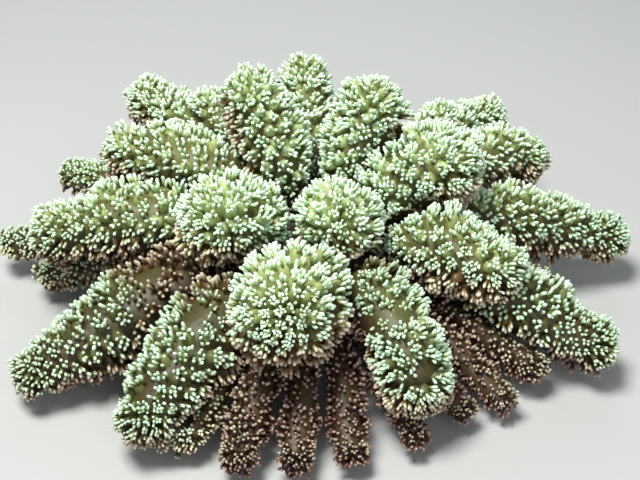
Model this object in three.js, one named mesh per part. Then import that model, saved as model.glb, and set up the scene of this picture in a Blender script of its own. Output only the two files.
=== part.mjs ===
// Branching sea anemone (a tree anemone of the genus Actinodendron), life size,
// as a still museum model. Millimetres, +Z up. The origin is the middle of the
// flat foot of the column, on the floor. -Y is the front of the crown.
//
// The animal is a short contracted column on a flat pedal disc, an oral disc
// shaped like a low dome with a slit mouth, and 39 thick arms that leave the
// dome in four cycles. Every arm is covered with hundreds of finger-like
// branchlets; the solids here are the arms out to the tips of those fingers,
// with a knobbly surface where the branchlets stand in clumps. The large arms
// are each made in two lengths, parted by a thin cut square to their middle line.
import * as THREE from "three";

// ---------------------------------------------------------------- driving sizes
const GAP = 0.34;            // clearance between bodies that meet
const FLOOR = 0;             // everything rests at this level

const DOME_RADIUS = 50;      // oral disc: half width of the dome
const DOME_MIDDLE = 22;      // height of its widest line
const DOME_RISE = 22;        // from its widest line to its top
const DOME_POWER = 2.5;      // superellipse exponent of its outline
const DOME_LIFT = 0.75;      // arm roots stand this far off the dome's outline
const LIP_RADIUS = 6.5;      // raised lip round the mouth
const LIP_RISE = 1.5;
const MOUTH_LENGTH = 7.6;    // slit mouth, along X
const MOUTH_WIDTH = 2.6;
const MOUTH_DEPTH = 4.5;

const FOOT_RADIUS = 40;      // flat underside of the pedal disc
const FOOT_EDGE = 3.2;       // rounding of the pedal disc's rim
const COLUMN_WAIST = 33;
const COLUMN_TOP = 11.5;     // where the column meets the oral disc's underside
const DISC_THROAT = 36;      // half width of the oral disc's underside there

const STALK = 8;             // half thickness of a bare arm root
const ROOT_SHOULDER = 4;     // bare stalk before the branchlets begin to widen
const ROOT_RISE = 26;        // length over which they reach full girth
const KNOB = 0.13;           // depth of the clump pattern, share of girth
const CUT = 0.36;            // thickness of the cut between two lengths
const SIDES_LARGE = 10, BANDS_LARGE = 12;
const SIDES_SMALL = 8, BANDS_SMALL = 9;

// Where each cycle of arms leaves the dome: distance from the middle.
const CYCLE_RADIUS = { inner: 17, second: 30, third: 42, outer: 49 };

// One row for each arm: name, compass angle in degrees (0 = +X, 90 = +Y, to the
// back), reach of the tip from the middle, height of the tip, slope at the root,
// slope at the tip, half thickness out to the finger tips, and the tip's half
// thickness as a share of that.
const ARMS = {
  inner: [
    ["front", -77, 43, 85, 66, 52, 26, 0.80],
    ["left", -146, 70, 81, 48, 34, 27, 0.78],
    ["back_left", 134, 54, 111, 80, 66, 23, 0.60],
    ["back_right", 50, 45, 109, 82, 70, 24, 0.66],
    ["right", 2, 74, 88, 60, 16, 27, 0.75],
  ],
  second: [
    ["front", -100, 106, 73, 24, 32, 30, 0.78],
    ["right", -29, 102, 50, 44, -18, 25, 0.64],
    ["front_right", -66, 113, 22, 22, -50, 21, 0.75],
    ["left", 156, 117, 62, 48, -10, 24, 0.62],
    ["back_left", 129, 102, 77, 58, 30, 16, 0.66],
    ["back", 96, 90, 92, 64, 50, 19, 0.75],
    ["back_right", 44, 90, 80, 60, 45, 15, 0.66],
  ],
  third: [
    ["left", 180, 138, 40, 36, -18, 25, 0.62],
    ["left_front", -151, 156, 15, 2, -12, 27, 0.38],
    ["front_left", -125.5, 137, 16, 13, -28, 26, 0.50],
    ["right_front", -24, 147, 17, 15, -14, 25, 0.50],
    ["right", 9, 159, 20, 24, -16, 22, 0.55],
    ["right_back", 27, 127, 46, 50, -50, 19, 0.78],
    ["back_right", 46, 139, 54, 44, -8, 18, 0.70],
    ["back_left", 132.5, 150, 60, 42, 0, 19, 0.68],
  ],
  outer: [
    ["01", 155, 152, 38, 24, 0, 14, 0.75],
    ["02", 170.5, 169, 16, 16, -8, 13, 0.75],
    ["03", 178, 144, 14, 16, -8, 13, 0.75],
    ["04", -118.5, 130, 10, 6, -10, 12, 0.80],
    ["05", -106.5, 131, 10, 8, -12, 13, 0.74],
    ["06", -95, 127, 9, 8, -12, 13, 0.64],
    ["07", -83.5, 123, 9, 8, -12, 13, 0.58],
    ["08", -68.5, 119, 9, 6, -12, 12, 0.58],
    ["09", -55, 116, 9, 8, -12, 11, 0.66],
    ["10", -45, 123, 9, 8, -12, 11, 0.66],
    ["11", -33, 125, 12, 10, -12, 14, 0.72],
    ["12", -9, 116, 24, 16, -8, 13, 0.75],
    ["13", 22, 126, 24, 16, -10, 12, 0.75],
    ["14", 47, 130, 13, 12, -10, 14, 0.72],
    ["15", 67, 132, 13, 12, -10, 14, 0.72],
    ["16", 76, 105, 66, 44, 32, 11, 0.75],
    ["17", 90, 133, 13, 12, -10, 14.5, 0.72],
    ["18", 113, 136, 13, 12, -10, 15, 0.72],
    ["19", 137, 143, 13, 12, -10, 14, 0.72],
  ],
};
// The one large arm that is short enough to be made in a single length.
const SINGLE = "second_back_right";

// ------------------------------------------------------------------- the shapes
const rad = THREE.MathUtils.degToRad;
const smooth = (x) => { x = Math.min(1, Math.max(0, x)); return x * x * (3 - 2 * x); };

// Height of the dome's outline above its widest line, at a distance from the axis.
function domeRise(r, radius = DOME_RADIUS, rise = DOME_RISE) {
  const k = Math.min(1, r / radius);
  return rise * Math.pow(Math.max(0, 1 - Math.pow(k, DOME_POWER)), 1 / DOME_POWER);
}
// True inside the dome, the column or the floor, all grown by a clearance.
function insideBody(p, grow) {
  if (p.z < FLOOR) return true;
  const r = Math.hypot(p.x, p.y), h = p.z - DOME_MIDDLE;
  if (r < LIP_RADIUS + 2 + grow && h < DOME_RISE + LIP_RISE + 0.4 + grow) return true;
  if (h >= 0) {
    return Math.pow(r / (DOME_RADIUS + grow), DOME_POWER)
      + Math.pow(h / (DOME_RISE + grow), DOME_POWER) < 1;
  }
  return r < DOME_RADIUS + grow;
}

class Arm {
  constructor(cycle, row) {
    const [name, azimuth, reach, height, leave, arrive, girth, blunt] = row;
    this.name = cycle + "_" + name;
    this.cycle = cycle;
    this.girth = girth;
    this.blunt = blunt;
    const a = rad(azimuth);
    const out = (r, z) => new THREE.Vector3(r * Math.cos(a), r * Math.sin(a), z);
    const r0 = CYCLE_RADIUS[cycle];
    const p0 = out(r0, DOME_MIDDLE + domeRise(r0)), p3 = out(reach, height);
    const chord = p0.distanceTo(p3);
    const slope = (deg) => out(Math.cos(rad(deg)), Math.sin(rad(deg)));
    const p1 = p0.clone().addScaledVector(slope(leave), 0.40 * chord);
    const p2 = p3.clone().addScaledVector(slope(arrive), -0.38 * chord);
    this.curve = new THREE.CubicBezierCurve3(p0, p1, p2, p3);
    this.curve.arcLengthDivisions = 240;
    this.curve.updateArcLengths();
    this.length = this.curve.getLength();
    this.side = new THREE.Vector3(-Math.sin(a), Math.cos(a), 0);
    this.tip = this.width(this.length);          // radius of the rounded end
    // Balls along the middle line, which share out the room between arms.
    this.balls = [];
    const n = Math.ceil(this.length / 2.2);
    for (let i = 0; i <= n; i++) {
      const s = (this.length - this.tip) * i / n;
      this.balls.push([this.at(s), this.width(s)]);
    }
  }
  at(s) { return this.curve.getPointAt(Math.min(1, Math.max(0, s / this.length))); }
  along(s) { return this.curve.getTangentAt(Math.min(1, Math.max(0, s / this.length))); }
  // Half thickness out to the finger tips, without the rounded end.
  width(s) {
    const stalk = Math.min(STALK, 0.7 * this.girth);
    const w = stalk + (this.girth - stalk) * smooth((s - ROOT_SHOULDER) / ROOT_RISE);
    const u = s / this.length, fall = Math.max(0, (u - 0.40) / 0.60);
    return w * (1 - (1 - this.blunt) * Math.pow(fall, 1.4));
  }
}

const arms = [];
for (const [cycle, rows] of Object.entries(ARMS)) for (const row of rows) arms.push(new Arm(cycle, row));

// The share of a wanted radius that is free: the room between two arms is shared
// in proportion to their half thicknesses, and both stay clear of the dome.
const probe = new THREE.Vector3();
function freeShare(arm, centre, dir, want, scale) {
  const clear = (r) => {
    probe.copy(centre).addScaledVector(dir, r + GAP / 2);
    if (insideBody(probe, GAP / 2 + 0.2)) return false;
    const mine = (r + GAP * 0.8) / scale;
    for (const other of arms) {
      if (other === arm) continue;
      for (const [q, R] of other.balls) {
        const dx = probe.x - q.x, dy = probe.y - q.y, dz = probe.z - q.z;
        const lim = mine * R;
        if (dx * dx + dy * dy + dz * dz < lim * lim) return false;
      }
    }
    return true;
  };
  let lo = 0;
  const steps = 10;
  for (let i = 1; i <= steps; i++) {
    const r = want * i / steps;
    if (clear(r)) { lo = r; continue; }
    let hi = r;
    for (let k = 0; k < 6; k++) { const m = (lo + hi) / 2; if (clear(m)) lo = m; else hi = m; }
    return Math.max(lo, 0.4) / want;
  }
  return 1;
}

// Rings of points round an arm, from its root on the dome to its rounded end.
function armRings(arm, sides, bands) {
  const tubeEnd = arm.length - arm.tip;
  const domeBands = sides > 8 ? 3 : 2;
  const tubeBands = bands - domeBands;
  const T1 = arm.along(arm.length);
  // a line out of the middle of the arm, for a place (t bands along, k sides round)
  const line = (t, k) => {
    const s = tubeEnd * Math.min(1, t / tubeBands);
    const lift = Math.max(0, t - tubeBands) / domeBands * Math.PI / 2;
    const T = t > tubeBands ? T1 : arm.along(s);
    const up = new THREE.Vector3().crossVectors(T, arm.side);
    const f = (k + 0.5) * 2 * Math.PI / sides;
    const dir = new THREE.Vector3().addScaledVector(arm.side, Math.cos(f) * Math.cos(lift))
      .addScaledVector(up, Math.sin(f) * Math.cos(lift)).addScaledVector(T, Math.sin(lift)).normalize();
    return { s, c: arm.at(s), T, dir, w: arm.width(s) };
  };
  // the free share, on a grid twice as fine as the mesh, wrapped round the arm
  const fine = [];
  for (let j = 0; j <= 2 * bands; j++) {
    fine.push(Array.from({ length: 2 * sides }, (_, k) => {
      const { c, dir, w } = line(j / 2, k / 2);
      return freeShare(arm, c, dir, w * 1.03, w);
    }));
  }
  // a vertex takes the least of its own and its neighbours' half-way shares, so
  // that the flat faces between vertices stay clear too
  const share = (j, k) => {
    let m = 1;
    for (const [a, b] of [[0, 0], [-1, 0], [1, 0], [0, -1], [0, 1]]) {
      const row = fine[Math.min(2 * bands, Math.max(0, 2 * j + a))];
      m = Math.min(m, row[(2 * k + b + 2 * sides) % (2 * sides)]);
    }
    return m;
  };
  const knob = (j, k) => ((j + k) % 2 ? 1 : 1 - KNOB / 1.03);
  const rings = [];
  for (let j = 1; j < bands; j++) {
    const at = line(j, 0);
    rings.push({ s: at.s, c: at.c, T: at.T, pts: Array.from({ length: sides }, (_, k) => {
      const { c, dir, w } = line(j, k);
      return c.clone().addScaledVector(dir, w * 1.03 * Math.min(knob(j, k), share(j, k)));
    }) });
  }
  const end = line(bands, 0);
  const apex = end.c.clone().addScaledVector(T1, end.w * 1.02 * share(bands, 0));
  // the root: each line of the bare stalk is followed back to the dome
  const T0 = arm.along(0);
  const reachDome = (p) => {
    const q = p.clone().addScaledVector(T0, 16);
    for (let i = 0; i < 200; i++) { if (insideBody(q, DOME_LIFT)) break; q.addScaledVector(T0, -0.2); }
    return q.addScaledVector(T0, 0.2);
  };
  const base = arm.at(0), w0 = arm.width(0);
  const root = Array.from({ length: sides }, (_, k) => {
    const { dir } = line(0, k);
    const near = Math.min(share(0, k), freeShare(arm, base.clone().addScaledVector(T0, 3), dir, w0 * 1.03, w0));
    return reachDome(base.clone().addScaledVector(dir, w0 * near));
  });
  return { root, heart: reachDome(base), rings, apex };
}

// A closed body from a stack of rings: a fan at each end, quads split in two between.
function loft(start, stack, end) {
  const pos = [], idx = [];
  const put = (p) => { pos.push(p.x, p.y, Math.max(FLOOR, p.z)); return pos.length / 3 - 1; };
  const rows = stack.map((ring) => ring.map(put));
  const a = put(start), b = put(end), n = stack[0].length;
  for (let k = 0; k < n; k++) {
    const m = (k + 1) % n;
    idx.push(a, rows[0][m], rows[0][k]);
    for (let j = 0; j + 1 < rows.length; j++) {
      const p = rows[j][k], q = rows[j][m], r = rows[j + 1][m], s = rows[j + 1][k];
      if ((j + k) % 2) idx.push(p, q, r, p, r, s); else idx.push(p, q, s, q, r, s);
    }
    const last = rows[rows.length - 1];
    idx.push(b, last[k], last[m]);
  }
  const g = new THREE.BufferGeometry();
  g.setAttribute("position", new THREE.Float32BufferAttribute(pos, 3));
  g.setIndex(idx);
  g.computeVertexNormals();
  return g;
}

// ------------------------------------------------------------------- the meshes
const TINTS = { inner: 0x9aa878, second: 0x8f9d72, third: 0x87936c, outer: 0x8a7f72 };
const model = new THREE.Group();
function add(name, geometry, colour, roughness = 0.62) {
  const material = new THREE.MeshStandardMaterial({ color: colour, roughness, metalness: 0 });
  const mesh = new THREE.Mesh(geometry, material);
  mesh.name = name;
  model.add(mesh);
  return mesh;
}

for (const arm of arms) {
  const large = arm.cycle !== "outer" && arm.name !== SINGLE;
  const { root, heart, rings, apex } = armRings(arm, large || arm.name === SINGLE ? SIDES_LARGE : SIDES_SMALL,
    large ? BANDS_LARGE : (arm.name === SINGLE ? 8 : BANDS_SMALL));
  const tint = new THREE.Color(TINTS[arm.cycle]);
  if (!large) {
    add("arm_" + arm.name, loft(heart, [root, ...rings.map((r) => r.pts)], apex), tint);
    continue;
  }
  // part it with a thin cut at the ring nearest the middle of the arm
  const cut = Math.floor(rings.length * 0.5) - 1;
  const at = rings[cut];
  const shifted = (t) => at.pts.map((p) => p.clone().addScaledVector(at.T, t));
  const lower = [root, ...rings.slice(0, cut).map((r) => r.pts), shifted(-CUT / 2)];
  const upper = [shifted(CUT / 2), ...rings.slice(cut + 1).map((r) => r.pts)];
  add("arm_" + arm.name + "_lower", loft(heart, lower, at.c.clone().addScaledVector(at.T, -CUT / 2)), tint);
  add("arm_" + arm.name + "_upper", loft(at.c.clone().addScaledVector(at.T, CUT / 2), upper, apex),
    tint.clone().offsetHSL(0, 0, 0.05));
}

// The oral disc: a turned dome whose middle rises in a lip and sinks in the slit
// mouth, with radial folds towards the rim.
{
  const around = 32;
  const profile = [];
  profile.push([DISC_THROAT, COLUMN_TOP + GAP], [DISC_THROAT + 6, COLUMN_TOP + 3.2], [DOME_RADIUS - 3, COLUMN_TOP + 6.4]);
  for (const r of [50, 48.5, 44, 35, 22, LIP_RADIUS + 2]) profile.push([r, DOME_MIDDLE + domeRise(r)]);
  const top = DOME_MIDDLE + DOME_RISE;
  profile.push([LIP_RADIUS - 0.8, top + LIP_RISE, "lip"], [0.62, top - 0.4, "slit"], [0.5, top - MOUTH_DEPTH, "slit"]);
  const ring = ([r, z, kind]) => Array.from({ length: around }, (_, k) => {
    const f = 2 * Math.PI * k / around;
    if (kind === "slit") {
      const lenient = z < top - 1 ? 0.72 : 1;
      return new THREE.Vector3(MOUTH_LENGTH / 2 * lenient * Math.cos(f), MOUTH_WIDTH / 2 * lenient * Math.sin(f), z);
    }
    const fold = kind === "lip" ? 0.35 * Math.cos(10 * f) : 0;
    return new THREE.Vector3(r * Math.cos(f), r * Math.sin(f), z + fold);
  });
  const stack = profile.map(ring);
  add("oral_disc", loft(new THREE.Vector3(0, 0, COLUMN_TOP + GAP), stack,
    new THREE.Vector3(0, 0, top - MOUTH_DEPTH - 0.2)), 0x6f6a55, 0.55);
}

// The column: contracted, lightly wrinkled round its waist, on its flat pedal disc.
{
  const around = 32;
  const rows = [
    [FOOT_RADIUS - 1.4, FLOOR], [FOOT_RADIUS + 0.6, FOOT_EDGE * 0.5], [FOOT_RADIUS - 1.2, FOOT_EDGE],
    [COLUMN_WAIST + 1.2, FOOT_EDGE + 2.2], [COLUMN_WAIST, FOOT_EDGE + 4.2], [DISC_THROAT - 1.0, COLUMN_TOP],
  ];
  const stack = rows.map(([r, z], j) => Array.from({ length: around }, (_, k) => {
    const f = 2 * Math.PI * k / around;
    const wrinkle = j ? 0.7 * Math.cos(8 * f) : 0;
    return new THREE.Vector3((r + wrinkle) * Math.cos(f), (r + wrinkle) * Math.sin(f), z);
  }));
  add("column", loft(new THREE.Vector3(0, 0, FLOOR), stack, new THREE.Vector3(0, 0, COLUMN_TOP)), 0x75614f, 0.6);
}

export default model;
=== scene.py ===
"""Looks of the branching sea anemone: one skin for the stalks, the oral disc and
the column, and thousands of finger-like branchlets as joined meshes over it."""
import bpy
import math
import numpy as np
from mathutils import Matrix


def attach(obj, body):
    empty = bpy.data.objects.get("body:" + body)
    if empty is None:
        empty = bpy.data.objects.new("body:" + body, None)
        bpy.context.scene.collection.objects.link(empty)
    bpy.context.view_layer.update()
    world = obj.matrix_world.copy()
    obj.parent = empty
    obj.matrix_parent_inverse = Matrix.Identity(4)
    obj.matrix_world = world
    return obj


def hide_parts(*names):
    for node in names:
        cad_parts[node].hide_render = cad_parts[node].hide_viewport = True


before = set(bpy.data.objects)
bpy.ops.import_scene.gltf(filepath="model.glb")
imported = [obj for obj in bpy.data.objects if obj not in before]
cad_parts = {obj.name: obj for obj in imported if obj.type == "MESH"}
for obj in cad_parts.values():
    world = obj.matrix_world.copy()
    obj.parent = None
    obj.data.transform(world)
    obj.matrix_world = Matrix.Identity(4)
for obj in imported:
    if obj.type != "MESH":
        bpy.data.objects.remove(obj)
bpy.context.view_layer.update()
rng = np.random.default_rng(20)
MM = 0.001

# --------------------------------------------------------------- the same sizes as the solids
DOME_RADIUS, DOME_MIDDLE, DOME_RISE, DOME_POWER = 50.0, 22.0, 22.0, 2.5
STALK, ROOT_SHOULDER, ROOT_RISE = 8.0, 4.0, 26.0
CYCLE_RADIUS = {"inner": 17.0, "second": 30.0, "third": 42.0, "outer": 49.0}
# name, cycle, compass angle, reach, height, slope at root, slope at tip, girth, bluntness, mauve share (partly the
# arm's own mauve, partly painted shade on the low front arms)
ARMS = [
    ("front", "inner", -77, 43, 85, 66, 52, 26, 0.80, 0.08),
    ("left", "inner", -146, 70, 81, 48, 34, 27, 0.78, 0.05),
    ("back_left", "inner", 134, 54, 111, 80, 66, 23, 0.60, 0.25),
    ("back_right", "inner", 50, 45, 109, 82, 70, 24, 0.66, 0.15),
    ("right", "inner", 2, 74, 88, 60, 16, 27, 0.75, 0.00),
    ("front", "second", -100, 106, 73, 24, 32, 30, 0.78, 0.05),
    ("right", "second", -29, 102, 50, 44, -18, 25, 0.64, 0.10),
    ("front_right", "second", -66, 113, 22, 22, -50, 21, 0.75, 0.15),
    ("left", "second", 156, 117, 62, 48, -10, 24, 0.62, 0.05),
    ("back_left", "second", 129, 102, 77, 58, 30, 16, 0.66, 0.05),
    ("back", "second", 96, 90, 92, 64, 50, 19, 0.75, 0.00),
    ("back_right", "second", 44, 90, 80, 60, 45, 15, 0.66, 0.00),
    ("left", "third", 180, 138, 40, 36, -18, 25, 0.62, 0.15),
    ("left_front", "third", -151, 156, 15, 2, -12, 27, 0.38, 0.25),
    ("front_left", "third", -125.5, 137, 16, 13, -28, 26, 0.50, 0.20),
    ("right_front", "third", -24, 147, 17, 15, -14, 25, 0.50, 0.20),
    ("right", "third", 9, 159, 20, 24, -16, 22, 0.55, 0.05),
    ("right_back", "third", 27, 127, 46, 50, -50, 19, 0.78, 0.05),
    ("back_right", "third", 46, 139, 54, 44, -8, 18, 0.70, 0.05),
    ("back_left", "third", 132.5, 150, 60, 42, 0, 19, 0.68, 0.05),
    ("01", "outer", 155, 152, 38, 24, 0, 14, 0.75, 0.15),
    ("02", "outer", 170.5, 169, 16, 16, -8, 13, 0.75, 0.05),
    ("03", "outer", 178, 144, 14, 16, -8, 13, 0.75, 0.00),
    ("04", "outer", -118.5, 130, 10, 6, -10, 12, 0.80, 0.25),
    ("05", "outer", -106.5, 131, 10, 8, -12, 13, 0.74, 0.90),
    ("06", "outer", -95, 127, 9, 8, -12, 13, 0.64, 1.00),
    ("07", "outer", -83.5, 123, 9, 8, -12, 13, 0.58, 1.00),
    ("08", "outer", -68.5, 119, 9, 6, -12, 12, 0.58, 1.00),
    ("09", "outer", -55, 116, 9, 8, -12, 11, 0.66, 0.95),
    ("10", "outer", -45, 123, 9, 8, -12, 11, 0.66, 0.85),
    ("11", "outer", -33, 125, 12, 10, -12, 14, 0.72, 0.70),
    ("12", "outer", -9, 116, 24, 16, -8, 13, 0.75, 0.50),
    ("13", "outer", 22, 126, 24, 16, -10, 12, 0.75, 0.30),
    ("14", "outer", 47, 130, 13, 12, -10, 14, 0.72, 0.30),
    ("15", "outer", 67, 132, 13, 12, -10, 14, 0.72, 0.40),
    ("16", "outer", 76, 105, 66, 44, 32, 11, 0.75, 0.05),
    ("17", "outer", 90, 133, 13, 12, -10, 14.5, 0.72, 0.30),
    ("18", "outer", 113, 136, 13, 12, -10, 15, 0.72, 0.40),
    ("19", "outer", 137, 143, 13, 12, -10, 14, 0.72, 0.30),
]
# Bare places on the upper midline: arm -> (share of length, half length mm, half angle deg)
BARE = {
    ("front_right", "second"): [(0.53, 3.6, 13), (0.76, 5.4, 19)],
    ("left_front", "third"): [(0.36, 5.5, 18), (0.60, 4.0, 15)],
    ("front_left", "third"): [(0.44, 5.0, 15), (0.76, 4.5, 14)],
    ("right_front", "third"): [(0.46, 4.0, 14)],
    ("right_back", "third"): [(0.45, 5.0, 16)],
}

# Arms whose branchlets stand closer together than on the rest, or further apart
FINE = {("front_right", "second"): 0.73, ("front_left", "third"): 0.90, ("right", "second"): 0.77,
        ("right", "inner"): 0.76, ("back_right", "inner"): 0.92, ("left", "inner"): 0.89, ("front", "inner"): 0.94,
        ("front", "second"): 1.03, ("left", "second"): 1.06, ("left_front", "third"): 1.06,
        ("right_front", "third"): 1.06, ("right", "third"): 1.04}
FINE.update({("%02d" % k, "outer"): 1.06 if k < 12 else 1.10 for k in (4, 5, 6, 7, 8, 9, 10, 11, 14, 15, 17, 18, 19)})
# A crowded button of small branchlets at an arm's end: radius, spacing share
CROWN = {("front", "second"): (12.5, 0.55), ("front_right", "second"): (6.0, 0.80)}
# Painted shade: arms whose start is painted brown where the ones above shade them: arm -> share of length
DUSK = {("left_front", "third"): 0.60, ("front_left", "third"): 0.55, ("front_right", "second"): 0.50,
        ("right_front", "third"): 0.40}
# Where these arms narrow: distance back from the end, half width, depth (the others follow one rule)
BEADS = {("front_right", "second"): [(49.0, 6.0, 7.2), (80.0, 8.0, 3.5)],
         ("front_left", "third"): [(23.0, 4.5, 2.6), (43.0, 5.5, 3.0), (68.0, 7.0, 3.0)],
         ("left_front", "third"): [(14.0, 3.5, 1.8), (28.0, 4.5, 2.6), (45.0, 5.5, 2.6), (66.0, 7.0, 3.0)]}
# Arms that get more of the painted mint top light than their height and facing give them
MINT = {("front_right", "second"): 0.34, ("front_left", "third"): 0.26, ("left_front", "third"): 0.36,
        ("right_front", "third"): 0.36, ("right", "third"): 0.24, ("right", "inner"): 0.10, ("left", "third"): 0.14}


def smooth(x):
    x = np.clip(x, 0.0, 1.0)
    return x * x * (3 - 2 * x)


def unit(v):
    return v / np.maximum(np.linalg.norm(v, axis=-1, keepdims=True), 1e-9)


def dome_rise(r):
    k = np.minimum(1.0, np.asarray(r, float) / DOME_RADIUS)
    return DOME_RISE * np.maximum(0, 1 - k ** DOME_POWER) ** (1 / DOME_POWER)


class Arm:
    """One arm's middle line, its girth out to the finger tips, and the room round it."""

    def __init__(self, row):
        self.name, self.cycle, az, reach, height, leave, arrive, self.girth, self.blunt, self.mauve = row
        a = math.radians(az)
        self.az = a
        out = lambda r, z: np.array([r * math.cos(a), r * math.sin(a), z])
        r0 = CYCLE_RADIUS[self.cycle]
        p0, p3 = out(r0, DOME_MIDDLE + float(dome_rise(r0))), out(reach, height)
        chord = np.linalg.norm(p3 - p0)
        slope = lambda d: out(math.cos(math.radians(d)), math.sin(math.radians(d)))
        p1 = p0 + slope(leave) * chord * 0.40
        p2 = p3 - slope(arrive) * chord * 0.38
        t = np.linspace(0, 1, 400)[:, None]
        q = (1 - t) ** 3 * p0 + 3 * (1 - t) ** 2 * t * p1 + 3 * (1 - t) * t * t * p2 + t ** 3 * p3
        s = np.r_[0, np.cumsum(np.linalg.norm(np.diff(q, axis=0), axis=1))]
        self.length = s[-1]
        self.S = np.linspace(0, self.length, 200)
        self.P = np.stack([np.interp(self.S, s, q[:, k]) for k in range(3)], 1)
        self.T = unit(np.gradient(self.P, axis=0))
        self.side = np.array([-math.sin(a), math.cos(a), 0.0])
        self.tip = float(self.width(self.length))
        self.tube = self.length - self.tip
        self.mer = self.tube + self.tip * math.pi / 2      # length of its outline, root to apex
        n = int(math.ceil(self.length / 2.2))
        bs = self.tube * np.arange(n + 1) / n
        self.balls = self.at(bs)
        self.ball_r = self.width(bs)

    def at(self, s):
        s = np.clip(s, 0, self.length)
        return np.stack([np.interp(s, self.S, self.P[:, k]) for k in range(3)], -1)

    def along(self, s):
        s = np.clip(s, 0, self.length)
        return unit(np.stack([np.interp(s, self.S, self.T[:, k]) for k in range(3)], -1))

    def width(self, s):
        s = np.asarray(s, float)
        stalk = min(STALK, 0.7 * self.girth)
        w = stalk + (self.girth - stalk) * smooth((s - ROOT_SHOULDER) / ROOT_RISE)
        fall = np.maximum(0, (s / self.length - 0.40) / 0.60)
        return w * (1 - (1 - self.blunt) * fall ** 1.4)

    def line(self, m, phi):
        """Centre, outward direction, forward direction and girth at a place on the outline."""
        m = np.asarray(m, float)
        s = np.minimum(m, self.tube)
        lift = np.clip((m - self.tube) / self.tip, 0, math.pi / 2)
        T = np.where((m > self.tube)[..., None], self.T[-1], self.along(s))
        up = np.cross(T, self.side)
        cl, sl = np.cos(lift)[..., None], np.sin(lift)[..., None]
        radial = np.cos(phi)[..., None] * self.side + np.sin(phi)[..., None] * up
        D = unit(radial * cl + T * sl)
        F = unit(T * cl - radial * sl)
        return self.at(s), D, F, self.width(s)

    def free(self, m, phi):
        """Share of the girth that is free at a place, from the table."""
        g = self.table
        nm, nph = g.shape
        x = np.clip(np.asarray(m) / self.mer, 0, 1) * (nm - 1)
        y = (np.asarray(phi) / (2 * math.pi)) % 1.0 * nph
        i0 = np.clip(np.floor(x).astype(int), 0, nm - 2)
        fx = x - i0
        j0 = np.floor(y).astype(int) % nph
        fy = y - np.floor(y)
        j1 = (j0 + 1) % nph
        return ((1 - fx) * (1 - fy) * g[i0, j0] + fx * (1 - fy) * g[i0 + 1, j0]
                + (1 - fx) * fy * g[i0, j1] + fx * fy * g[i0 + 1, j1])


arms = [Arm(r) for r in ARMS]


def limit_table(i, nm=40, nph=32):
    """The room between two arms is shared in proportion to their girths: for a line
    out of arm i, the nearest place where another arm's share begins."""
    a = arms[i]
    m = np.linspace(0, a.mer, nm)
    phi = np.arange(nph) * 2 * math.pi / nph
    M, PH = np.meshgrid(m, phi, indexing="ij")
    C, D, F, W = a.line(M.ravel(), PH.ravel())
    want = W * 1.03
    best = want.copy()
    for j, o in enumerate(arms):
        if j == i:
            continue
        for q, R in zip(o.balls, o.ball_r):
            d = C - q
            c = (d * d).sum(1)
            near = c < (want * (1 + R / W)) ** 2
            if not near.any():
                continue
            dn, Dn = d[near], D[near]
            b = (dn * Dn).sum(1)
            disc = b * b - (1 - (R / W[near]) ** 2) * c[near]
            den = -b + np.sqrt(np.maximum(disc, 0))
            r = np.where((disc >= 0) & (den > 1e-6), c[near] / np.maximum(den, 1e-6), 1e9)
            best[near] = np.minimum(best[near], r)
    # the dome and the floor
    for k in range(24):
        r = want * (k + 1) / 24
        p = C + D * r[:, None]
        rr = np.hypot(p[:, 0], p[:, 1])
        h = p[:, 2] - DOME_MIDDLE
        inside = np.where(h >= 0, (rr / (DOME_RADIUS + .8)) ** DOME_POWER + (np.maximum(h, 0) / (DOME_RISE + .8)) ** DOME_POWER < 1,
                          rr < DOME_RADIUS + .8)
        best = np.where(inside, np.minimum(best, want * k / 24), best)
    down = np.where(D[:, 2] < -1e-3, (C[:, 2] - 0.4) / np.maximum(-D[:, 2], 1e-3), 1e9)
    best = np.minimum(best, down)
    return (np.maximum(best, 0.3) / want).reshape(nm, nph)


for i, a in enumerate(arms):
    a.table = limit_table(i)


# --------------------------------------------------------------- mesh helpers
def new_mesh(name, verts, quads, tris, ngons=None, smooth_shade=True):
    """A mesh from arrays, in millimetres; ngons is an (n, k) array."""
    me = bpy.data.meshes.new(name)
    loops, starts, totals = [], [], []
    at = 0
    for arr in (quads, tris, ngons):
        if arr is None or len(arr) == 0:
            continue
        k = arr.shape[1]
        loops.append(arr.ravel())
        starts.append(at + np.arange(len(arr)) * k)
        totals.append(np.full(len(arr), k))
        at += arr.size
    loops = np.concatenate(loops).astype(np.int32)
    starts = np.concatenate(starts).astype(np.int32)
    totals = np.concatenate(totals).astype(np.int32)
    me.vertices.add(len(verts))
    me.vertices.foreach_set("co", (np.asarray(verts, np.float32) * MM).ravel())
    me.loops.add(len(loops))
    me.loops.foreach_set("vertex_index", loops)
    me.polygons.add(len(starts))
    me.polygons.foreach_set("loop_start", starts)
    me.polygons.foreach_set("loop_total", totals)
    me.update(calc_edges=True)
    if smooth_shade:
        me.polygons.foreach_set("use_smooth", np.ones(len(starts), bool))
    ob = bpy.data.objects.new(name, me)
    bpy.context.scene.collection.objects.link(ob)
    return ob, loops


def put_attribute(me, name, values):
    at = me.attributes.new(name, "FLOAT", "POINT")
    at.data.foreach_set("value", np.asarray(values, np.float32))


# --------------------------------------------------------------- branchlets
# Every branchlet clump is a stem (a fleshy lobe) out of the stalk and a fan of fingers.
def spread(a, spacing, start):
    """Golden-angle places over an arm's outline, about `spacing(m)` apart."""
    m = np.linspace(start, a.mer, 400)
    s = np.minimum(m, a.tube)
    lift = np.clip((m - a.tube) / a.tip, 0, math.pi / 2)
    ring = a.width(s) * np.cos(lift)
    dens = 2 * math.pi * ring / (0.87 * spacing(m) ** 2)
    cum = np.r_[0, np.cumsum((dens[1:] + dens[:-1]) / 2 * np.diff(m))]
    n = int(cum[-1])
    k = np.arange(n) + 0.5
    mm = np.interp(k, cum, m)
    ph = (k * 2.399963 + rng.uniform(0, 6.28)) % (2 * math.pi)
    return mm, ph


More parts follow.
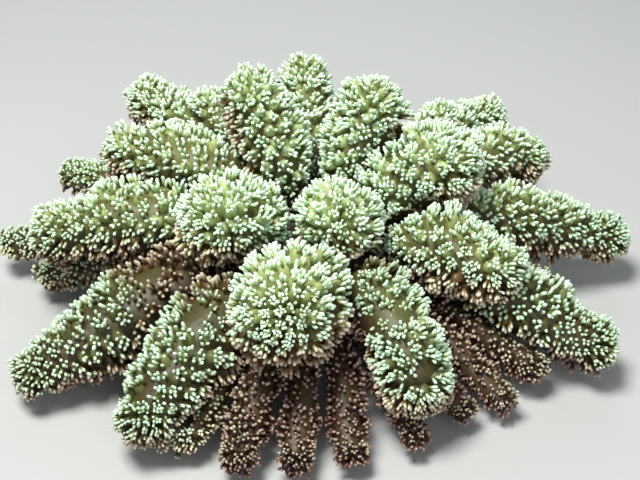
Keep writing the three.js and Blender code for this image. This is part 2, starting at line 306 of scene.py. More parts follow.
lobe_rows = []      # fleshy lobes: p0, p1, r0, r1, along0, along1 (raised on high lobes as painted light), tone, warm (mauve share plus painted shade), lift (painted top light), arm, m, phi
finger_rows = []    # fingers: root, tip, radius, along0, tone, warm (mauve share plus painted shade), lift (painted top light), arm, m, phi, pale end (lowered by painted shade)
DEPTH_SHARE, DEPTH_LEAST, DEPTH_MOST = 0.36, 3.2, 9.4      # tips stand this far above the flesh


def flesh_radius(w):
    """Half thickness of the fleshy stalk under the branchlets."""
    w = np.asarray(w, float)
    return np.maximum(w - np.clip(DEPTH_SHARE * w, DEPTH_LEAST, DEPTH_MOST), 0.45 * w)


def bare(a, m, phi, soft):
    """True on the bare places of an arm's upper midline."""
    off = np.abs((phi - math.pi / 2 + math.pi) % (2 * math.pi) - math.pi)
    hit = np.zeros(len(m), bool)
    for share, half, ang in BARE.get((a.name, a.cycle), []):
        hit |= ((m - share * a.mer) / half) ** 2 + (off / math.radians(ang)) ** 2 < soft
    return hit


def nearest_two(points, centres):
    d = np.sqrt(((points[:, None] - centres[None]) ** 2).sum(-1))
    if d.shape[1] < 2:
        return np.zeros(len(d), int), d[:, 0], d[:, 0] * 0 + 99
    o = np.argpartition(d, 1, axis=1)[:, :2]
    k = np.arange(len(d))
    a_, b_ = d[k, o[:, 0]], d[k, o[:, 1]]
    first = np.where(a_ <= b_, o[:, 0], o[:, 1])
    return first, np.minimum(a_, b_), np.maximum(a_, b_)


def grow(ai):
    a = arms[ai]
    big = a.cycle != "outer"
    start = 6.0 if big else 4.0
    slim = np.clip(a.girth / 26.0, 0.35, 1.0)

    zone = {"inner": 0.20, "second": 0.24, "third": 0.36, "outer": 0.46}[a.cycle]

    dusk = DUSK.get((a.name, a.cycle), 0.32)
    extra = MINT.get((a.name, a.cycle), 0.0)

    def shade(m):
        """One at the painted-shade brown start of an arm, nothing beyond it."""
        return smooth((dusk - m / a.mer) / 0.28)

    def tipness(m):
        return smooth((m / a.mer - 1 + zone) / (0.8 * zone))

    def tuft_gap(m):
        return (8.0 + 0.34 * a.width(np.minimum(m, a.tube))) * (1 - 0.30 * tipness(m))

    def clump_gap(m):
        return (5.2 + 0.18 * a.width(np.minimum(m, a.tube))) * (1 - 0.36 * tipness(m)) * (1 - 0.20 * crown(m))

    fine = FINE.get((a.name, a.cycle), 1.0)

    button, share_ = CROWN.get((a.name, a.cycle), (0.0, 1.0))

    def crown(m):
        """One in the crowded button at the end, nothing outside it."""
        return smooth((m - (a.mer - button - 1.5)) / 3.0) if button else 0 * m

    def finger_gap(m):
        return (3.34 if big else 3.26) * fine * (1 - 0.30 * tipness(m) * (1 - crown(m))) * (1 - (1 - share_) * crown(m))

    # arms swell and narrow on their way, so that each ends in a rounded knob
    beads = [(30.0, 6.0, 3.0), (60.0, 7.0, 2.4), (90.0, 7.0, 1.6)] if big else [(19.0, 4.0, 1.9), (38.0, 4.5, 1.4)]
    beads = BEADS.get((a.name, a.cycle), [] if a.cycle == "inner" else beads)
    shift_, turn = rng.uniform(-4, 4) * slim * ((a.name, a.cycle) not in BEADS), rng.uniform(0, 6.28)

    def waist(m, phi):
        left = a.mer - m + 3.0 * np.sin(phi + turn)
        return sum(deep * (0.80 + 0.20 * np.cos(2 * phi + turn)) * np.exp(-((left - at - shift_) / wide) ** 2)
                   for at, wide, deep in beads) if beads else np.zeros(len(m))

    def outline(m, phi):
        """Place on the outline that the tips reach, pulled in a little where two arms meet."""
        C, D, F, W = a.line(m, phi)
        S = a.free(m, phi)
        reach = (W * 1.03 + 0.5) * S - 1.6 * smooth((0.97 - S) / 0.35) - waist(m, phi)
        return C, D, F, W, S, np.maximum(reach, 1.5)

    def painted_top_light(p, up, m):
        """Painted top light: how pale and minty a place is painted, more on high places that look up and at the ends of
        the arms, less in the painted shade of a brown start.
        """
        high = smooth((p[:, 2] - 20) / 50)
        g = ((0.34 + 0.66 * high) * (0.06 + 0.94 * smooth((up + 0.30) / 1.02)) * (1 - 0.5 * a.mauve)
             + (0.18 if big else 0.12) * tipness(m) - (0.30 + (dusk > 0.32) * 0.30) * shade(m))
        minty = np.minimum(g + extra * smooth((up + 0.45) / 0.8) * (1 - shade(m)), 0.56)
        return np.clip(np.maximum(g, minty), 0, 1)

    # side branches: each lifts one rounded tuft, with a furrow between it and the next
    tm, tp = spread(a, tuft_gap, start)
    tp = tp + rng.normal(0, 0.12, len(tp))
    tm = np.clip(tm + rng.normal(0, 1.2, len(tm)), start, a.mer)
    C, D, F, W, S, R = outline(tm, tp)
    tuft_head = C + D * R[:, None]
    tuft_high = rng.uniform(-1.8, 0.9, len(tm)) * (0.45 + slim)
    tuft_tone = rng.random(len(tm))

    def sculpt(C, D, F, W, S, R, quiet):
        """Outline with the furrows between tufts."""
        head = C + D * R[:, None]
        t, d1, d2 = nearest_two(head, tuft_head)
        edge = smooth((d1 / np.maximum(d2, 1e-6) - 0.50) / 0.50)
        deep = np.clip(0.21 * W, 1.6, 5.2) * quiet
        return R - edge * deep * np.clip(R / W, 0.3, 1) + tuft_high[t] * (1 - 0.4 * edge), t, edge

    # clumps on the tufts
    cm, cp = spread(a, clump_gap, start)
    cp = cp + rng.normal(0, 0.07, len(cp))
    cm = np.clip(cm + rng.normal(0, 0.6, len(cm)), start, a.mer)
    C, D, F, W, S, R = outline(cm, cp)
    ok = (S > 0.32) & ~bare(a, cm, cp, 1.9)
    cm, cp, C, D, F, W, S, R = (x[ok] for x in (cm, cp, C, D, F, W, S, R))
    Rc, tc, ec = sculpt(C, D, F, W, S, R, 1 - 0.6 * tipness(cm) * big)
    flesh = np.minimum(flesh_radius(W), np.maximum(R - 3.0, 1.2))
    gap = clump_gap(cm)
    span_c = (4.7 if big else 3.6) * (1 - 0.36 * tipness(cm)) * (1 - 0.18 * crown(cm))
    towards = unit(tuft_head[tc] - (C + D * (0.35 * R)[:, None]))
    axis = unit(0.75 * D + 0.25 * towards + F * np.where(cm > a.tube, 0.0, 0.12)[:, None] + rng.normal(0, 0.06, D.shape))
    head = C + D * Rc[:, None]
    hub = head - axis * (0.85 * gap)[:, None]
    top = head - axis * ((0.88 + 0.4 * bare(a, cm, cp, 4.5)) * span_c)[:, None]
    tone_c = 0.5 * rng.random(len(cm)) + 0.5 * tuft_tone[tc]

    # fingers
    fm, fp = spread(a, finger_gap, start - 2)
    g = finger_gap(fm)
    ring = np.maximum(a.width(np.minimum(fm, a.tube)), 3)
    fp = fp + rng.normal(0, 0.14, len(fp)) * g / ring
    fm = np.clip(fm + rng.normal(0, 0.14, len(fm)) * g, start - 2, a.mer)
    Cf, Df, Ff, Wf, Sf, Rf = outline(fm, fp)
    ok = (rng.random(len(Sf)) < smooth((Sf - 0.26) / 0.40)) & (rng.random(len(Sf)) > 0.35 * smooth(-Df[:, 2] / 0.6)) & ~bare(a, fm, fp, 1.0)
    rim = Cf + Df * Rf[:, None]
    ok &= ~((Df[:, 2] < -0.5) & (rim[:, 2] < 3.0)) & ~((rng.random(len(Sf)) < 0.25 * shade(fm)) & (dusk > 0.32))
    ok &= ~((waist(fm, fp) > 2.0) & (Rf < flesh_radius(Wf) + 1.7))      # no tips just under the flesh
    fm, fp, Cf, Df, Ff, Wf, Sf, Rf, g = (x[ok] for x in (fm, fp, Cf, Df, Ff, Wf, Sf, Rf, g))
    Rs, tf, ef = sculpt(Cf, Df, Ff, Wf, Sf, Rf, 1 - 0.6 * tipness(fm) * big)
    put = Cf + Df * Rs[:, None]
    j, d1, d2 = nearest_two(put, head)
    rel = d1 / (0.5 * gap[j])
    out = Rs - np.minimum(1.5, rel) ** 2 * 0.08 * gap[j] - rng.uniform(0, 0.9, len(j)) * g / 4
    out = np.minimum(out, Rf + 0.8)
    tip = Cf + Df * out[:, None] + Ff * rng.normal(0, 0.08, len(j))[:, None] * g[:, None]
    fan = unit(tip - hub[j])
    pull = np.where(bare(a, fm, fp, 2.2)[:, None], 0.0, head[j] - tip)
    tip = tip + 0.15 * (pull - Df * (pull * Df).sum(1)[:, None])
    dirs = unit(0.46 * Df + 0.54 * fan + 0.06 * Ff + rng.normal(0, 0.10, Df.shape))
    radius = (0.88 if big else 0.82) * fine ** 0.5 * (1 - 0.25 * np.maximum(tipness(fm), crown(fm))) * rng.uniform(0.86, 1.12, len(j))
    span = np.minimum(1.10 * span_c[j] * rng.uniform(0.88, 1.16, len(j)) * (1 + 0.35 * shade(fm)), np.maximum(0.9 * out, 1.6))
    base = tip - dirs * span[:, None]
    tip[:, 2] = np.maximum(tip[:, 2], 0.9)
    base[:, 2] = np.maximum(base[:, 2], 1.2)
    # painted shade mixed with the arm's mauve: fingers that face down, stand crowded, sit in furrows, waists and the
    # brown start are painted more mauve brown
    mauve_and_shade_f = np.clip(a.mauve + 0.06 * waist(fm, fp) + 0.60 * np.clip(0.40 - Df[:, 2], 0, 1) + 0.45 * np.clip(0.9 - Sf, 0, 1)
                     + 0.10 * ef + 0.40 * shade(fm) - 0.20 * (not big) * tipness(fm) + rng.normal(0, 0.07, len(j)), 0, 1)
    # painted shade: fingers in crowded places, furrows, waists and the brown start, and those facing down, get a less
    # white end; so do the outer arms, by their mauve share
    pale = 1 - 0.05 * waist(fm, fp) - 0.36 * smooth((0.95 - Sf) / 0.5) - 0.12 * ef - 0.16 * shade(fm) - 0.10 * smooth(-Df[:, 2] / 0.8) - 0.12 * a.mauve * (not big)
    # a clump with too few branchlets goes, and they go with it
    crowd = np.bincount(j, minlength=len(cm))
    used = crowd >= 3 + 2 * bare(a, cm, cp, 6.0)
    finger_rows.append(np.c_[base, tip, radius, np.full(len(j), 0.12), 0.55 * rng.random(len(j)) + 0.45 * tone_c[j],
                             mauve_and_shade_f, painted_top_light(tip, 0.6 * Df[:, 2] + 0.4 * dirs[:, 2], fm), np.full(len(j), ai), fm, fp, pale][used[j]])
    top = top - axis * ((crowd < 5) * 0.30 * span_c)[:, None]
    # painted shade mixed with the arm's mauve: lobes that face down, stand crowded and sit in the brown start are
    # painted more mauve brown
    mauve_and_shade_c = np.clip(a.mauve + 0.62 * np.clip(0.36 - D[:, 2], 0, 1) + 0.45 * np.clip(0.9 - S, 0, 1)
                     + 0.40 * shade(cm), 0, 1)
    foot = C + D * (flesh * 0.62)[:, None]
    top[:, 2] = np.maximum(top[:, 2], 1.5)
    # painted light: lobes end paler the higher they stand, and paler still on the inner arms
    painted_height_light = 0.05 + 0.20 * smooth((top[:, 2] - 24) / 36) + (0.20 if a.cycle == "inner" else 0.0)
    lobe_rows.append(np.c_[foot, top, 0.46 * gap, 0.36 * gap, np.full(len(cm), 0.0), painted_height_light, tone_c, mauve_and_shade_c,
                           painted_top_light(top, axis[:, 2], cm), np.full(len(cm), ai), cm, cp][used])


for i in range(len(arms)):
    grow(i)
fingers = np.concatenate(finger_rows)
lobes = np.concatenate(lobe_rows)
print("fingers", len(fingers), "lobes", len(lobes))


def frames_for(axis, roll):
    ref = np.where(np.abs(axis[:, 2:3]) < 0.9, np.array([[0, 0, 1.0]]), np.array([[1.0, 0, 0]]))
    u = unit(np.cross(axis, ref))
    v = np.cross(axis, u)
    c, s = np.cos(roll)[:, None], np.sin(roll)[:, None]
    return u * c + v * s, v * c - u * s


def build_fingers(rows, sides=5):
    """Closed round-ended fingers. Returns verts, quads, tris, ngons and attributes."""
    n = len(rows)
    root, tip, r = rows[:, 0:3], rows[:, 3:6], rows[:, 6]
    axis = unit(tip - root)
    L = np.linalg.norm(tip - root, axis=1)
    u, v = frames_for(axis, rng.uniform(0, 6.28, n))
    bend = (u * rng.normal(0, 0.07, (n, 1)) + v * rng.normal(0, 0.07, (n, 1))) * L[:, None]
    ts = np.array([0.0, 0.45, 0.80, 0.955])
    rr = np.array([0.86, 0.90, 1.0, 0.66])
    cap = np.minimum(r, 0.4 * L)                 # length of the rounded end
    ang = np.arange(sides) * 2 * math.pi / sides
    verts, along = [], []
    for t, q in zip(ts, rr):
        if t > 0.9:
            pos = L - 0.36 * cap
        elif t > 0.7:
            pos = L - 1.15 * cap
        else:
            pos = t * L
        tt = (pos / L)[:, None]
        c = root + axis * pos[:, None] + bend * 4 * tt * (1 - tt)
        rad = (r * q)[:, None, None]
        ring = c[:, None] + rad * (np.cos(ang)[None, :, None] * u[:, None] + np.sin(ang)[None, :, None] * v[:, None])
        verts.append(ring)
        along.append(np.repeat(pos[:, None] / L[:, None], sides, 1))
    verts.append(tip[:, None])
    along.append(np.ones((n, 1)))
    V = np.concatenate(verts, 1)                 # n, 4*sides+1, 3
    A = np.concatenate(along, 1)
    per = V.shape[1]
    k = np.arange(sides)
    k2 = (k + 1) % sides
    q_ = np.concatenate([np.stack([j * sides + k, j * sides + k2, (j + 1) * sides + k2, (j + 1) * sides + k], 1) for j in range(3)])
    t_ = np.stack([3 * sides + k, 3 * sides + k2, np.full(sides, 4 * sides)], 1)
    g_ = k[::-1][None, :]
    off = (np.arange(n) * per)[:, None, None]
    quads = (q_[None] + off).reshape(-1, 4)
    tris = (t_[None] + off).reshape(-1, 3)
    ngons = (g_[None] + off).reshape(-1, sides)
    a0 = rows[:, 7:8]
    att = dict(along=(a0 + (rows[:, 14:15] - a0) * A).ravel())
    for name, col in (("tone", 8), ("warm", 9), ("lift", 10)):
        att[name] = np.repeat(rows[:, col], per)
    around = np.concatenate([np.tile(np.arange(sides) / sides, 4), [0.5]])
    loc = np.stack([np.tile(around, (n, 1)), A], -1).reshape(-1, 2)
    return V.reshape(-1, 3), quads, tris, ngons, att, loc, per


def build_lobes(rows, sides=5):
    """Closed round-topped fleshy lobes."""
    n = len(rows)
    p0, p1 = rows[:, 0:3], rows[:, 3:6]
    axis = unit(p1 - p0)
    L = np.linalg.norm(p1 - p0, axis=1)
    u, v = frames_for(axis, rng.uniform(0, 6.28, n))
    ang = np.arange(sides) * 2 * math.pi / sides
    r0, r1 = rows[:, 6], rows[:, 7]
    verts, along = [], []
    for t, fat in ((0.0, 1.12), (0.45, 1.0), (0.82, 0.82), (1.0, 0.46)):
        c = p0 + axis * (L * t)[:, None]
        rad = (r0 * (1 - t) + r1 * t) * fat
        wob = 1 + rng.normal(0, 0.05, (n, sides))
        verts.append(c[:, None] + (rad[:, None] * wob)[:, :, None] * (np.cos(ang)[None, :, None] * u[:, None] + np.sin(ang)[None, :, None] * v[:, None]))
        along.append(np.full((n, sides), t))
    verts.append((p1 + axis * (r1 * 0.22)[:, None])[:, None])
    along.append(np.ones((n, 1)))
    V = np.concatenate(verts, 1)
    A = np.concatenate(along, 1)
    per = V.shape[1]
    k = np.arange(sides)
    k2 = (k + 1) % sides
    q_ = np.concatenate([np.stack([j * sides + k, j * sides + k2, (j + 1) * sides + k2, (j + 1) * sides + k], 1) for j in range(3)])
    t_ = np.stack([3 * sides + k, 3 * sides + k2, np.full(sides, 4 * sides)], 1)
    g_ = k[::-1][None, :]
    off = (np.arange(n) * per)[:, None, None]
    a0, a1 = rows[:, 8:9], rows[:, 9:10]
    att = dict(along=(a0 + (a1 - a0) * A).ravel())
    for name, col in (("tone", 10), ("warm", 11), ("lift", 12)):
        att[name] = np.repeat(rows[:, col], per)
    around = np.concatenate([np.tile(np.arange(sides) / sides, 4), [0.5]])
    loc = np.stack([np.tile(around, (n, 1)), A], -1).reshape(-1, 2)
    return V.reshape(-1, 3), (q_[None] + off).reshape(-1, 4), (t_[None] + off).reshape(-1, 3), (g_[None] + off).reshape(-1, sides), att, loc, per


PATCH = 0.0036


def patch_places(arm, m, phi):
    """Where each finger's patch lies on the bake map: one cell for each arm, its length up the cell and its girth
    across it."""
    cells = 7
    out = np.zeros((len(arm), 2))
    for i in np.unique(arm.astype(int)):
        sel = np.nonzero(arm.astype(int) == i)[0]
        n = len(sel)
        rows = max(1, int(math.ceil(math.sqrt(n))))
        order = sel[np.argsort(m[sel], kind="stable")]
        cell = 1.0 / cells
        room = cell * 0.94
        for r, part in enumerate(np.array_split(order, rows)):
            part = part[np.argsort(phi[part] % (2 * math.pi), kind="stable")]
            x = (np.arange(len(part)) + 0.5) / max(len(part), 1)
            out[part, 0] = (i % cells) * cell + cell * 0.03 + x * room
            out[part, 1] = (i // cells) * cell + cell * 0.03 + (r + 0.5) / rows * room
    return out


def coat_piece(name, kind, rows, arm_col, m_col, phi_col, material):
    V, quads, tris, ngons, att, loc, per = kind(rows)
    ob, loops = new_mesh(name, V, quads, tris, ngons)
    for k, val in att.items():
        put_attribute(ob.data, k, val)
    place = patch_places(rows[:, arm_col], rows[:, m_col], rows[:, phi_col])
    uv_v = np.repeat(place, per, 0) + (loc - 0.5) * PATCH
    uv = ob.data.uv_layers.new(name="OFBake")
    uv.data.foreach_set("uv", uv_v[loops].astype(np.float32).ravel())
    ob.data.materials.append(material)
    ob.data.validate()
    return ob


# --------------------------------------------------------------- materials
def nodes_of(name):
    mat = bpy.data.materials.new(name)
    mat.use_nodes = True
    nt = mat.node_tree
    return mat, nt, nt.nodes["Principled BSDF"]


def node(nt, kind, **kw):
    n = nt.nodes.new(kind)
    for k, v in kw.items():
        setattr(n, k, v)
    return n


def ramp(nt, stops):
    r = nt.nodes.new("ShaderNodeValToRGB")
    el = r.color_ramp.elements
    while len(el) > 1:
        el.remove(el[-1])
    el[0].position, el[0].color = stops[0][0], (*stops[0][1], 1)
    for p, c in stops[1:]:
        e = el.new(p)
        e.color = (*c, 1)
    return r


def srgb(r, g, b):
    f = lambda x: ((x / 255 + 0.055) / 1.055) ** 2.4 if x / 255 > 0.04045 else x / 255 / 12.92
    return (f(r), f(g), f(b))


def mix(nt, a, b, fac, mode="MIX"):
    m = nt.nodes.new("ShaderNodeMix")
    m.data_type = "RGBA"
    m.blend_type = mode
    m.clamp_factor = True
    for sock, val in ((0, fac), (6, a), (7, b)):
        if isinstance(val, (int, float)):
            m.inputs[sock].default_value = val
        elif isinstance(val, tuple):
            m.inputs[sock].default_value = (*val, 1)
        else:
            nt.links.new(val, m.inputs[sock])
    return m.outputs[2]


def math_node(nt, op, a, b=None, c=None, clamp=False):
    m = nt.nodes.new("ShaderNodeMath")
    m.operation = op
    m.use_clamp = clamp
    for i, val in enumerate((a, b, c)):
        if val is None:
            continue
        if isinstance(val, (int, float)):
            m.inputs[i].default_value = val
        else:
            nt.links.new(val, m.inputs[i])
    return m.outputs[0]


def finger_material():
    mat, nt, bsdf = nodes_of("branchlets")
    L = nt.links
    get = lambda n: node(nt, "ShaderNodeAttribute", attribute_name=n).outputs["Fac"]
    along, tone, warm, lift = get("along"), get("tone"), get("warm"), get("lift")
    coord = node(nt, "ShaderNodeTexCoord").outputs["Object"]
    noise = node(nt, "ShaderNodeTexNoise")
    noise.inputs["Scale"].default_value = 38.0
    noise.inputs["Detail"].default_value = 2.0
    L.new(coord, noise.inputs["Vector"])
    # the pale end begins a little sooner or later on each finger
    shift = math_node(nt, "MULTIPLY_ADD", tone, 0.16, -0.08)
    a = math_node(nt, "ADD", along, shift, clamp=True)
    green = ramp(nt, [(0.0, srgb(60, 44, 21)), (0.28, srgb(108, 87, 38)), (0.46, srgb(142, 124, 64)),
                      (0.62, srgb(198, 184, 132)), (0.76, srgb(238, 231, 198)), (1.0, srgb(248, 243, 220))])
    mauve = ramp(nt, [(0.0, srgb(30, 11, 12)), (0.28, srgb(66, 29, 26)), (0.46, srgb(94, 52, 46)),
                      (0.62, srgb(120, 86, 78)), (0.76, srgb(162, 137, 128)), (1.0, srgb(188, 170, 161))])
    for r in (green, mauve):
        L.new(a, r.inputs[0])
    # the mix toward mauve is the arm's mauve share plus painted shade, broken by noise
    wf = math_node(nt, "MULTIPLY_ADD", noise.outputs["Fac"], 0.5, -0.25)
    wf = math_node(nt, "ADD", warm, wf, clamp=True)
    col = mix(nt, green.outputs[0], mauve.outputs[0], wf)
    # painted top light: fingers that look up are painted paler and minty, less so where the mauve and painted shade are
    # strong
    mint = ramp(nt, [(0.0, srgb(58, 56, 27)), (0.28, srgb(94, 100, 54)), (0.46, srgb(132, 150, 98)),
                     (0.62, srgb(168, 210, 168)), (0.76, srgb(188, 238, 206)), (1.0, srgb(202, 247, 222))])
    pale = ramp(nt, [(0.0, srgb(134, 140, 78)), (0.24, srgb(162, 174, 110)), (0.42, srgb(192, 210, 156)),
                     (0.58, srgb(212, 238, 198)), (0.76, srgb(226, 251, 220)), (1.0, srgb(234, 254, 232))])
    inv = math_node(nt, "MULTIPLY_ADD", wf, -0.72, 1.0)
    for stops, gain, less in ((mint, 2.3, -0.34), (pale, 2.2, -1.00)):
        L.new(a, stops.inputs[0])
        share = math_node(nt, "MULTIPLY_ADD", lift, gain, less, clamp=True)
        col = mix(nt, col, stops.outputs[0], math_node(nt, "MULTIPLY", math_node(nt, "MULTIPLY", share, 0.93), inv))
    val = node(nt, "ShaderNodeHueSaturation")
    L.new(col, val.inputs["Color"])
    L.new(math_node(nt, "MULTIPLY_ADD", tone, 0.22, 0.86), val.inputs["Value"])
    L.new(val.outputs[0], bsdf.inputs["Base Color"])
    bump_noise = node(nt, "ShaderNodeTexNoise")
    bump_noise.inputs["Scale"].default_value = 1400.0
    bump_noise.inputs["Detail"].default_value = 2.0
    L.new(coord, bump_noise.inputs["Vector"])
    bump = node(nt, "ShaderNodeBump")
    bump.inputs["Strength"].default_value = 0.25
    bump.inputs["Distance"].default_value = 0.0003
    L.new(bump_noise.outputs["Fac"], bump.inputs["Height"])
    L.new(bump.outputs[0], bsdf.inputs["Normal"])
    bsdf.inputs["Roughness"].default_value = 0.46
    bsdf.inputs["Specular IOR Level"].default_value = 0.32
    bsdf.inputs["Subsurface Weight"].default_value = 0.35
    bsdf.inputs["Subsurface Radius"].default_value = (1.0, 0.9, 0.6)
    bsdf.inputs["Subsurface Scale"].default_value = 0.0018
    return mat


def skin_material():
    mat, nt, bsdf = nodes_of("skin")
    L = nt.links
    coord = node(nt, "ShaderNodeTexCoord").outputs["Object"]
    n1 = node(nt, "ShaderNodeTexNoise")
    n1.inputs["Scale"].default_value = 60.0
    n1.inputs["Detail"].default_value = 5.0
    n1.inputs["Roughness"].default_value = 0.6
    L.new(coord, n1.inputs["Vector"])
    r1 = ramp(nt, [(0.28, srgb(40, 36, 17)), (0.45, srgb(58, 57, 27)), (0.58, srgb(76, 80, 42)), (0.75, srgb(90, 98, 58))])
    L.new(n1.outputs["Fac"], r1.inputs[0])
    n2 = node(nt, "ShaderNodeTexNoise")
    n2.inputs["Scale"].default_value = 420.0
    n2.inputs["Detail"].default_value = 3.0
    L.new(coord, n2.inputs["Vector"])
    r2 = ramp(nt, [(0.35, srgb(68, 56, 32)), (0.65, srgb(88, 92, 54))])
    L.new(n2.outputs["Fac"], r2.inputs[0])
    col = mix(nt, r1.outputs[0], r2.outputs[0], 0.35)
    # painted top light: flesh that looks up on the high arms is painted pale olive
    up = node(nt, "ShaderNodeSeparateXYZ")
    L.new(node(nt, "ShaderNodeNewGeometry").outputs["Normal"], up.inputs[0])
    face = node(nt, "ShaderNodeMapRange")
    face.inputs["From Min"].default_value = 0.1
    face.inputs["From Max"].default_value = 0.8
    L.new(up.outputs["Z"], face.inputs["Value"])
    tall = node(nt, "ShaderNodeMapRange")
    tall.inputs["From Min"].default_value = 0.044
    tall.inputs["From Max"].default_value = 0.078
    sep = node(nt, "ShaderNodeSeparateXYZ")
    L.new(coord, sep.inputs[0])
    L.new(sep.outputs["Z"], tall.inputs["Value"])
    col = mix(nt, col, srgb(130, 132, 62), math_node(nt, "MULTIPLY", math_node(nt, "MULTIPLY", face.outputs[0], tall.outputs[0]), 0.4))
    # painted shade: low flesh is painted darker mauve brown towards the floor
    geo = node(nt, "ShaderNodeSeparateXYZ")
    L.new(coord, geo.inputs[0])
    low = node(nt, "ShaderNodeMapRange")
    low.inputs["From Min"].default_value = 0.056
    low.inputs["From Max"].default_value = 0.012
    L.new(geo.outputs["Z"], low.inputs["Value"])
    col = mix(nt, col, srgb(70, 38, 30), math_node(nt, "MULTIPLY", low.outputs[0], 0.75))
    # painted shade: the flesh in the valleys near the middle is painted dark mauve brown as well
    wide = math_node(nt, "SQRT", math_node(nt, "ADD", math_node(nt, "POWER", geo.outputs["X"], 2.0),
                                           math_node(nt, "POWER", geo.outputs["Y"], 2.0)))
    near = node(nt, "ShaderNodeMapRange")
    near.inputs["From Min"].default_value = 0.098
    near.inputs["From Max"].default_value = 0.078
    L.new(wide, near.inputs["Value"])
    deep = node(nt, "ShaderNodeMapRange")
    deep.inputs["From Min"].default_value = 0.060
    deep.inputs["From Max"].default_value = 0.046
    L.new(geo.outputs["Z"], deep.inputs["Value"])
    col = mix(nt, col, srgb(58, 36, 26), math_node(nt, "MULTIPLY", math_node(nt, "MULTIPLY", near.outputs[0], deep.outputs[0]), 0.85))
    L.new(col, bsdf.inputs["Base Color"])
    bump = node(nt, "ShaderNodeBump")
    bump.inputs["Strength"].default_value = 0.5
    bump.inputs["Distance"].default_value = 0.0006
    L.new(n2.outputs["Fac"], bump.inputs["Height"])
    L.new(bump.outputs[0], bsdf.inputs["Normal"])
    bsdf.inputs["Roughness"].default_value = 0.48
    bsdf.inputs["Specular IOR Level"].default_value = 0.40
    bsdf.inputs["Subsurface Weight"].default_value = 0.08
    bsdf.inputs["Subsurface Scale"].default_value = 0.0015
    return mat


finger_mat = finger_material()
skin_mat = skin_material()


# --------------------------------------------------------------- the skin
def revolve(profile, around=64, warp=None):
    """Closed body of revolution about Z, given bottom to top as (r, z)."""
    ph = np.arange(around) * 2 * math.pi / around
    rows = []
    for r, z in profile:
        rr = np.full(around, r, float)
        zz = np.full(around, z, float)
        if warp:
            rr, zz = warp(rr, zz, ph)
        rows.append(np.stack([rr * np.cos(ph), rr * np.sin(ph), zz], 1))
    return close_stack(rows)


def close_stack(rows):
    n = len(rows[0])
    V = np.concatenate(rows + [rows[0].mean(0)[None], rows[-1].mean(0)[None]])
    k = np.arange(n)
    k2 = (k + 1) % n
    quads = np.concatenate([np.stack([j * n + k, j * n + k2, (j + 1) * n + k2, (j + 1) * n + k], 1) for j in range(len(rows) - 1)])
    b, t = len(rows) * n, len(rows) * n + 1
    tris = np.concatenate([np.stack([k2, k, np.full(n, b)], 1),
                           np.stack([(len(rows) - 1) * n + k, (len(rows) - 1) * n + k2, np.full(n, t)], 1)])
    return V, quads, tris


parts = []
for a in arms:
    rows = []
    ph = np.arange(20) * 2 * math.pi / 20
    for s in np.linspace(-9.0, a.tube + 0.45 * a.tip, 46):
        sc = max(s, 0.0)
        C, D, F, W = a.line(np.full(20, min(sc, a.tube)), ph)
        rs = float(flesh_radius(a.width(sc)))
        end = max(0.0, (s - (a.tube - 2)) / (0.45 * a.tip + 2))
        rs *= math.sqrt(max(0.02, 1 - end ** 2))
        room = a.free(np.full(20, min(sc, a.tube)), ph) * W * 1.03
        rr = np.minimum(rs, np.maximum(room - 3.2, 1.2))
        centre = C + (a.T[0] * s if s < 0 else a.T[-1] * max(0, s - a.tube))
        pts = centre + D * rr[:, None]
        pts[:, 2] = np.maximum(pts[:, 2], 0.3)
        rows.append(pts)
    parts.append(close_stack(rows))

# oral disc with its lip and slit mouth, and the contracted column below it
prof = [(38.4, 0.0), (40.2, 1.2), (39.8, 2.6), (36.0, 4.6), (33.6, 7.0), (33.6, 9.5), (35.5, 12.0), (40.5, 14.6), (46.0, 17.6), (49.3, 20.6)]
prof += [(r, DOME_MIDDLE + float(dome_rise(r))) for r in (49.8, 49.4, 48.5, 46.5, 43, 38, 31, 23, 15, 10.5)]
prof += [(8.0, 44.9), (6.2, 45.6), (4.6, 45.1)]


def wrinkle(r, z, ph):
    low = z < 11.0
    r = r + np.where(low & (z > 0.5), 0.55 * np.cos(16 * ph + 0.5 * np.sin(3 * ph)), 0)
    r = r + np.where((z > 11.0) & (z < 21), 0.45 * np.cos(38 * ph), 0)
    return r, z


parts.append(revolve(prof, 160, wrinkle))

V, Q, T3, at = [], [], [], 0
for v, q, t in parts:
    V.append(v)
    Q.append(q + at)
    T3.append(t + at)
    at += len(v)
skin, _ = new_mesh("skin", np.concatenate(V), np.concatenate(Q), np.concatenate(T3))
mod = skin.modifiers.new("join", "REMESH")
mod.mode = "VOXEL"
mod.voxel_size = 0.00185
sm = skin.modifiers.new("soften", "SMOOTH")
sm.factor = 0.5
sm.iterations = 3
dg = bpy.context.evaluated_depsgraph_get()
final = bpy.data.meshes.new_from_object(skin.evaluated_get(dg))
skin.modifiers.clear()
old = skin.data
skin.data = final
bpy.data.meshes.remove(old)
n = len(skin.data.vertices)
co = np.empty(n * 3, np.float32)
skin.data.vertices.foreach_get("co", co)
co = co.reshape(-1, 3)
# the slit mouth, pressed into the middle of the lip; the foot is flat
r = np.hypot(co[:, 0] / 0.0042, co[:, 1] / 0.0014)
dent = 0.0040 * np.exp(-(r ** 2)) * (co[:, 2] > 0.040)
co[:, 2] -= dent
co[:, 2] = np.where(co[:, 2] < 0.0007, 0.0, co[:, 2])
skin.data.vertices.foreach_set("co", co.ravel())
skin.data.polygons.foreach_set("use_smooth", np.ones(len(skin.data.polygons), bool))
skin.data.materials.clear()
skin.data.materials.append(skin_mat)
skin.data.update()
print("skin faces", len(skin.data.polygons))
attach(skin, "root")
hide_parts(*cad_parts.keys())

# --------------------------------------------------------------- the coat pieces
per_piece = 4000
order = rng.permutation(len(fingers))
count = int(math.ceil(len(fingers) / per_piece))
for k in range(count):
    rows = fingers[np.sort(order[k::count])]
    ob = coat_piece("fingers_%02d" % (k + 1), build_fingers, rows, 11, 12, 13, finger_mat)
    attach(ob, "root")
order = rng.permutation(len(lobes))
count = int(math.ceil(len(lobes) / 3000))
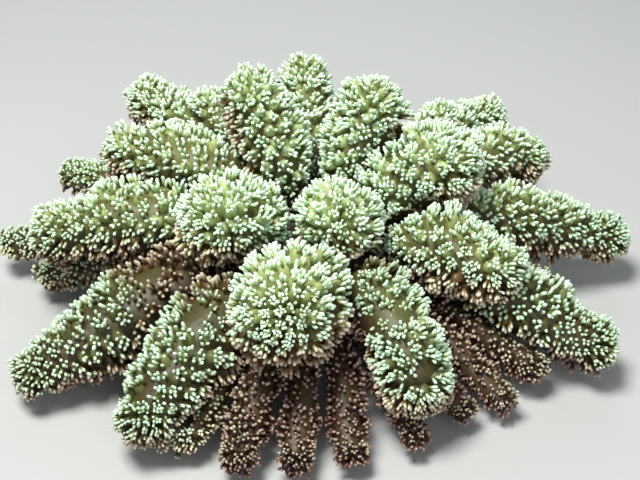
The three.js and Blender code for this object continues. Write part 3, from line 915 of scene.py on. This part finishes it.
for k in range(count):
    rows = lobes[np.sort(order[k::count])]
    ob = coat_piece("lobes_%02d" % (k + 1), build_lobes, rows, 13, 14, 15, finger_mat)
    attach(ob, "root")

# --------------------------------------------------------------- floor, light, camera
me = bpy.data.meshes.new("floor")
me.from_pydata([(-4, -4, 0), (4, -4, 0), (4, 4, 0), (-4, 4, 0)], [], [(0, 1, 2, 3)])
floor = bpy.data.objects.new("floor", me)
bpy.context.scene.collection.objects.link(floor)
mat, nt, bsdf = nodes_of("floor_pale")
bsdf.inputs["Base Color"].default_value = (*srgb(184, 186, 185), 1)
bsdf.inputs["Roughness"].default_value = 0.9
bsdf.inputs["Specular IOR Level"].default_value = 0.1
me.materials.append(mat)
floor.location.z = -0.0002


def area(name, loc, look, size, power, colour):
    li = bpy.data.lights.new(name, "AREA")
    li.shape = "DISK"
    li.size = size
    li.energy = power
    li.color = colour
    ob = bpy.data.objects.new(name, li)
    ob.location = loc
    from mathutils import Vector
    ob.rotation_euler = (Vector(look) - Vector(loc)).to_track_quat("-Z", "Y").to_euler()
    bpy.context.scene.collection.objects.link(ob)


area("key", (-0.26, -0.22, 1.08), (0, 0, 0.04), 0.42, 17.5, (1.0, 0.99, 0.96))
area("fill", (0.30, -0.95, 0.62), (0, 0, 0.04), 0.9, 3.4, (1.0, 0.99, 0.97))
area("back", (0.1, 1.0, 0.75), (0, 0, 0.05), 0.8, 3.0, (0.92, 1.0, 1.0))
world = bpy.data.worlds.new("studio")
world.use_nodes = True
world.node_tree.nodes["Background"].inputs[0].default_value = (0.86, 0.93, 1.0, 1)
world.node_tree.nodes["Background"].inputs[1].default_value = 0.16
bpy.context.scene.world = world
bpy.context.scene.view_settings.view_transform = "Standard"

cam_data = bpy.data.cameras.new("camera")
cam_data.lens = 69.0
cam_data.sensor_width = 36.0
cam_data.clip_start = 0.01
cam = bpy.data.objects.new("camera", cam_data)
elev = math.radians(36.0)
dist = 0.60
cam.location = (0.0, -dist * math.cos(elev), 0.04 + dist * math.sin(elev))
cam.rotation_euler = (math.radians(90.0) - elev, 0.0, 0.0)
bpy.context.scene.collection.objects.link(cam)
bpy.context.scene.camera = cam
